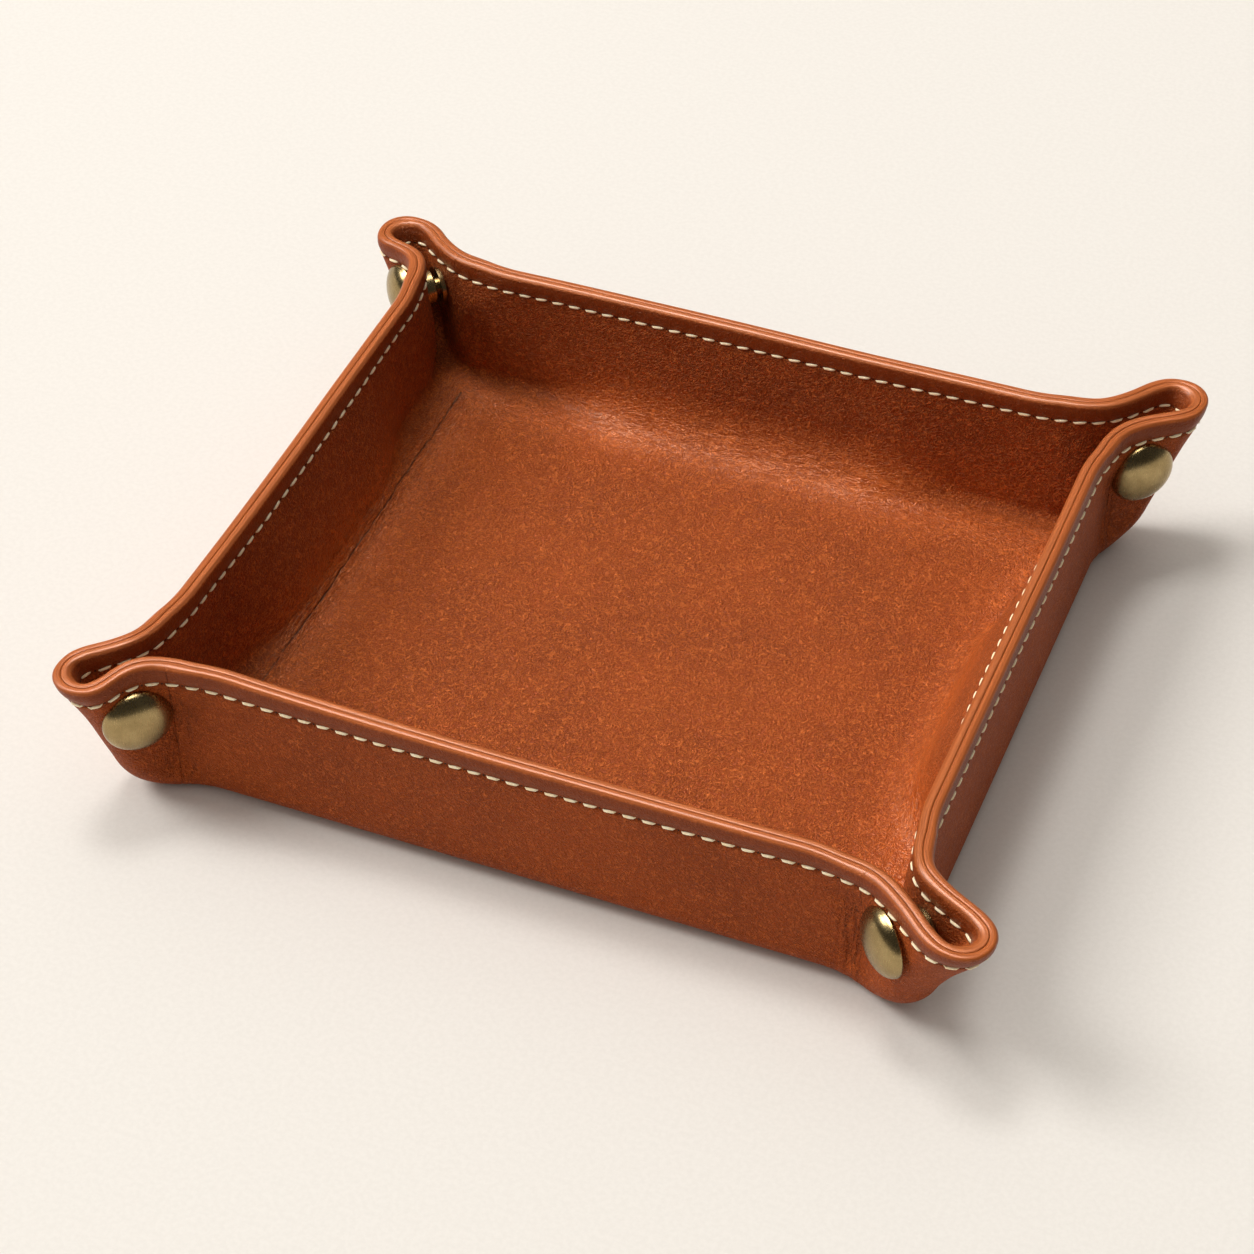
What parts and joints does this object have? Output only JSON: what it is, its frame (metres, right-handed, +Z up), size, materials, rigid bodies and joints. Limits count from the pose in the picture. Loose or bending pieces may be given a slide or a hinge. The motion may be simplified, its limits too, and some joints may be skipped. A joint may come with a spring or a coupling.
{
  "type": "valet tray",
  "caption": "Low rectangular leather tray with sewn rim; press snaps pinch its corners into ears and let it open flat. Holds keys, coins and other small things.",
  "frame": {"origin": "under the middle of the tray, on the surface that it stands on", "axes": "+Z up, +X along the longer side, +Y from the front wall to the back wall"},
  "size_m": [0.1944, 0.178, 0.035],
  "materials": {
    "outer_leather": "cognac vegetable-tanned cowhide, satin, burnished orange-brown edges",
    "lining_leather": "cognac cowhide, satin, fine grain",
    "antique_brass": "brushed antique brass, darker at the edge"
  },
  "bodies": {
    "base": {"base_outer_leather": "outer_leather", "base_lining": "lining_leather"},
    "front_wall": {"front_wall_outer_leather": "outer_leather", "front_wall_lining": "lining_leather"},
    "right_wall": {"right_wall_outer_leather": "outer_leather", "right_wall_lining": "lining_leather"},
    "back_wall": {"back_wall_outer_leather": "outer_leather", "back_wall_lining": "lining_leather"},
    "left_wall": {"left_wall_outer_leather": "outer_leather", "left_wall_lining": "lining_leather"},
    "front_left_ear_front": {"front_left_ear_front_outer": "outer_leather", "front_left_ear_front_lining": "lining_leather", "front_left_snap_cap": "antique_brass", "front_left_snap_socket": "antique_brass"},
    "front_left_fold_front": {"front_left_fold_front_outer": "outer_leather", "front_left_fold_front_lining": "lining_leather"},
    "front_left_ear_left": {"front_left_ear_left_outer": "outer_leather", "front_left_ear_left_lining": "lining_leather", "front_left_snap_stud": "antique_brass", "front_left_snap_post": "antique_brass"},
    "front_left_fold_left": {"front_left_fold_left_outer": "outer_leather", "front_left_fold_left_lining": "lining_leather"},
    "front_right_ear_front": {"front_right_ear_front_outer": "outer_leather", "front_right_ear_front_lining": "lining_leather", "front_right_snap_cap": "antique_brass", "front_right_snap_socket": "antique_brass"},
    "front_right_fold_front": {"front_right_fold_front_outer": "outer_leather", "front_right_fold_front_lining": "lining_leather"},
    "front_right_ear_right": {"front_right_ear_right_outer": "outer_leather", "front_right_ear_right_lining": "lining_leather", "front_right_snap_stud": "antique_brass", "front_right_snap_post": "antique_brass"},
    "front_right_fold_right": {"front_right_fold_right_outer": "outer_leather", "front_right_fold_right_lining": "lining_leather"},
    "back_left_ear_back": {"back_left_ear_back_outer": "outer_leather", "back_left_ear_back_lining": "lining_leather", "back_left_snap_stud": "antique_brass", "back_left_snap_post": "antique_brass"},
    "back_left_fold_back": {"back_left_fold_back_outer": "outer_leather", "back_left_fold_back_lining": "lining_leather"},
    "back_left_ear_left": {"back_left_ear_left_outer": "outer_leather", "back_left_ear_left_lining": "lining_leather", "back_left_snap_cap": "antique_brass", "back_left_snap_socket": "antique_brass"},
    "back_left_fold_left": {"back_left_fold_left_outer": "outer_leather", "back_left_fold_left_lining": "lining_leather"},
    "back_right_ear_back": {"back_right_ear_back_outer": "outer_leather", "back_right_ear_back_lining": "lining_leather", "back_right_snap_stud": "antique_brass", "back_right_snap_post": "antique_brass"},
    "back_right_fold_back": {"back_right_fold_back_outer": "outer_leather", "back_right_fold_back_lining": "lining_leather"},
    "back_right_ear_right": {"back_right_ear_right_outer": "outer_leather", "back_right_ear_right_lining": "lining_leather", "back_right_snap_cap": "antique_brass", "back_right_snap_socket": "antique_brass"},
    "back_right_fold_right": {"back_right_fold_right_outer": "outer_leather", "back_right_fold_right_lining": "lining_leather"}
  },
  "joints": [
    {"name": "front_wall_fold", "type": "hinge", "parent": "base", "child": "front_wall", "pos_m": [0, -0.0724, 0.00185], "axis": [1, 0, 0], "range_deg": [0, 82]},
    {"name": "right_wall_fold", "type": "hinge", "parent": "base", "child": "right_wall", "pos_m": [0.08066, 0, 0.00185], "axis": [0, 1, 0], "range_deg": [0, 82]},
    {"name": "back_wall_fold", "type": "hinge", "parent": "base", "child": "back_wall", "pos_m": [0, 0.0724, 0.00185], "axis": [-1, 0, 0], "range_deg": [0, 82]},
    {"name": "left_wall_fold", "type": "hinge", "parent": "base", "child": "left_wall", "pos_m": [-0.08066, 0, 0.00185], "axis": [0, -1, 0], "range_deg": [0, 82]},
    {"name": "front_left_ear_front_crease", "type": "hinge", "parent": "front_wall", "child": "front_left_ear_front", "pos_m": [-0.07516, -0.07045, 0], "axis": [0, 0, -1], "range_deg": [0, 39.6]},
    {"name": "front_left_fold_front_bend", "type": "hinge", "parent": "front_left_ear_front", "child": "front_left_fold_front", "pos_m": [-0.08464, -0.07915, 0.01225], "axis": [-0.2049, -0.545, 0.813], "range_deg": [0, 83.5], "deforming": ["front_left_fold_front_outer", "front_left_fold_front_lining"]},
    {"name": "front_left_ear_left_crease", "type": "hinge", "parent": "left_wall", "child": "front_left_ear_left", "pos_m": [-0.0787, -0.06691, 0], "axis": [0, 0, 1], "range_deg": [0, 39.6]},
    {"name": "front_left_fold_left_bend", "type": "hinge", "parent": "front_left_ear_left", "child": "front_left_fold_left", "pos_m": [-0.0874, -0.07639, 0.01225], "axis": [0.545, 0.2049, -0.813], "range_deg": [0, 83.5], "deforming": ["front_left_fold_left_outer", "front_left_fold_left_lining"]},
    {"name": "front_right_ear_front_crease", "type": "hinge", "parent": "front_wall", "child": "front_right_ear_front", "pos_m": [0.07516, -0.07045, 0], "axis": [0, 0, 1], "range_deg": [0, 39.6]},
    {"name": "front_right_fold_front_bend", "type": "hinge", "parent": "front_right_ear_front", "child": "front_right_fold_front", "pos_m": [0.08464, -0.07915, 0.01225], "axis": [-0.2049, 0.545, -0.813], "range_deg": [0, 83.5], "deforming": ["front_right_fold_front_outer", "front_right_fold_front_lining"]},
    {"name": "front_right_ear_right_crease", "type": "hinge", "parent": "right_wall", "child": "front_right_ear_right", "pos_m": [0.0787, -0.06691, 0], "axis": [0, 0, -1], "range_deg": [0, 39.6]},
    {"name": "front_right_fold_right_bend", "type": "hinge", "parent": "front_right_ear_right", "child": "front_right_fold_right", "pos_m": [0.0874, -0.07639, 0.01225], "axis": [0.545, -0.2049, 0.813], "range_deg": [0, 83.5], "deforming": ["front_right_fold_right_outer", "front_right_fold_right_lining"]},
    {"name": "back_left_ear_back_crease", "type": "hinge", "parent": "back_wall", "child": "back_left_ear_back", "pos_m": [-0.07516, 0.07045, 0], "axis": [0, 0, 1], "range_deg": [0, 39.6]},
    {"name": "back_left_fold_back_bend", "type": "hinge", "parent": "back_left_ear_back", "child": "back_left_fold_back", "pos_m": [-0.08464, 0.07915, 0.01225], "axis": [0.2049, -0.545, -0.813], "range_deg": [0, 83.5], "deforming": ["back_left_fold_back_outer", "back_left_fold_back_lining"]},
    {"name": "back_left_ear_left_crease", "type": "hinge", "parent": "left_wall", "child": "back_left_ear_left", "pos_m": [-0.0787, 0.06691, 0], "axis": [0, 0, -1], "range_deg": [0, 39.6]},
    {"name": "back_left_fold_left_bend", "type": "hinge", "parent": "back_left_ear_left", "child": "back_left_fold_left", "pos_m": [-0.0874, 0.07639, 0.01225], "axis": [-0.545, 0.2049, 0.813], "range_deg": [0, 83.5], "deforming": ["back_left_fold_left_outer", "back_left_fold_left_lining"]},
    {"name": "back_right_ear_back_crease", "type": "hinge", "parent": "back_wall", "child": "back_right_ear_back", "pos_m": [0.07516, 0.07045, 0], "axis": [0, 0, -1], "range_deg": [0, 39.6]},
    {"name": "back_right_fold_back_bend", "type": "hinge", "parent": "back_right_ear_back", "child": "back_right_fold_back", "pos_m": [0.08464, 0.07915, 0.01225], "axis": [0.2049, 0.545, 0.813], "range_deg": [0, 83.5], "deforming": ["back_right_fold_back_outer", "back_right_fold_back_lining"]},
    {"name": "back_right_ear_right_crease", "type": "hinge", "parent": "right_wall", "child": "back_right_ear_right", "pos_m": [0.0787, 0.06691, 0], "axis": [0, 0, 1], "range_deg": [0, 39.6]},
    {"name": "back_right_fold_right_bend", "type": "hinge", "parent": "back_right_ear_right", "child": "back_right_fold_right", "pos_m": [0.0874, 0.07639, 0.01225], "axis": [-0.545, -0.2049, -0.813], "range_deg": [0, 83.5], "deforming": ["back_right_fold_right_outer", "back_right_fold_right_lining"]}
  ],
  "couplings": [
    {"joint": "right_wall_fold", "follows": "front_wall_fold", "ratio": 1},
    {"joint": "back_wall_fold", "follows": "front_wall_fold", "ratio": 1},
    {"joint": "left_wall_fold", "follows": "front_wall_fold", "ratio": 1},
    {"joint": "front_left_ear_front_crease", "follows": "front_wall_fold", "ratio": 0.48293},
    {"joint": "front_left_fold_front_bend", "follows": "front_wall_fold", "ratio": 1.0183},
    {"joint": "front_left_ear_left_crease", "follows": "front_wall_fold", "ratio": 0.48293},
    {"joint": "front_left_fold_left_bend", "follows": "front_wall_fold", "ratio": 1.0183},
    {"joint": "front_right_ear_front_crease", "follows": "front_wall_fold", "ratio": 0.48293},
    {"joint": "front_right_fold_front_bend", "follows": "front_wall_fold", "ratio": 1.0183},
    {"joint": "front_right_ear_right_crease", "follows": "front_wall_fold", "ratio": 0.48293},
    {"joint": "front_right_fold_right_bend", "follows": "front_wall_fold", "ratio": 1.0183},
    {"joint": "back_left_ear_back_crease", "follows": "front_wall_fold", "ratio": 0.48293},
    {"joint": "back_left_fold_back_bend", "follows": "front_wall_fold", "ratio": 1.0183},
    {"joint": "back_left_ear_left_crease", "follows": "front_wall_fold", "ratio": 0.48293},
    {"joint": "back_left_fold_left_bend", "follows": "front_wall_fold", "ratio": 1.0183},
    {"joint": "back_right_ear_back_crease", "follows": "front_wall_fold", "ratio": 0.48293},
    {"joint": "back_right_fold_back_bend", "follows": "front_wall_fold", "ratio": 1.0183},
    {"joint": "back_right_ear_right_crease", "follows": "front_wall_fold", "ratio": 0.48293},
    {"joint": "back_right_fold_right_bend", "follows": "front_wall_fold", "ratio": 1.0183}
  ]
}
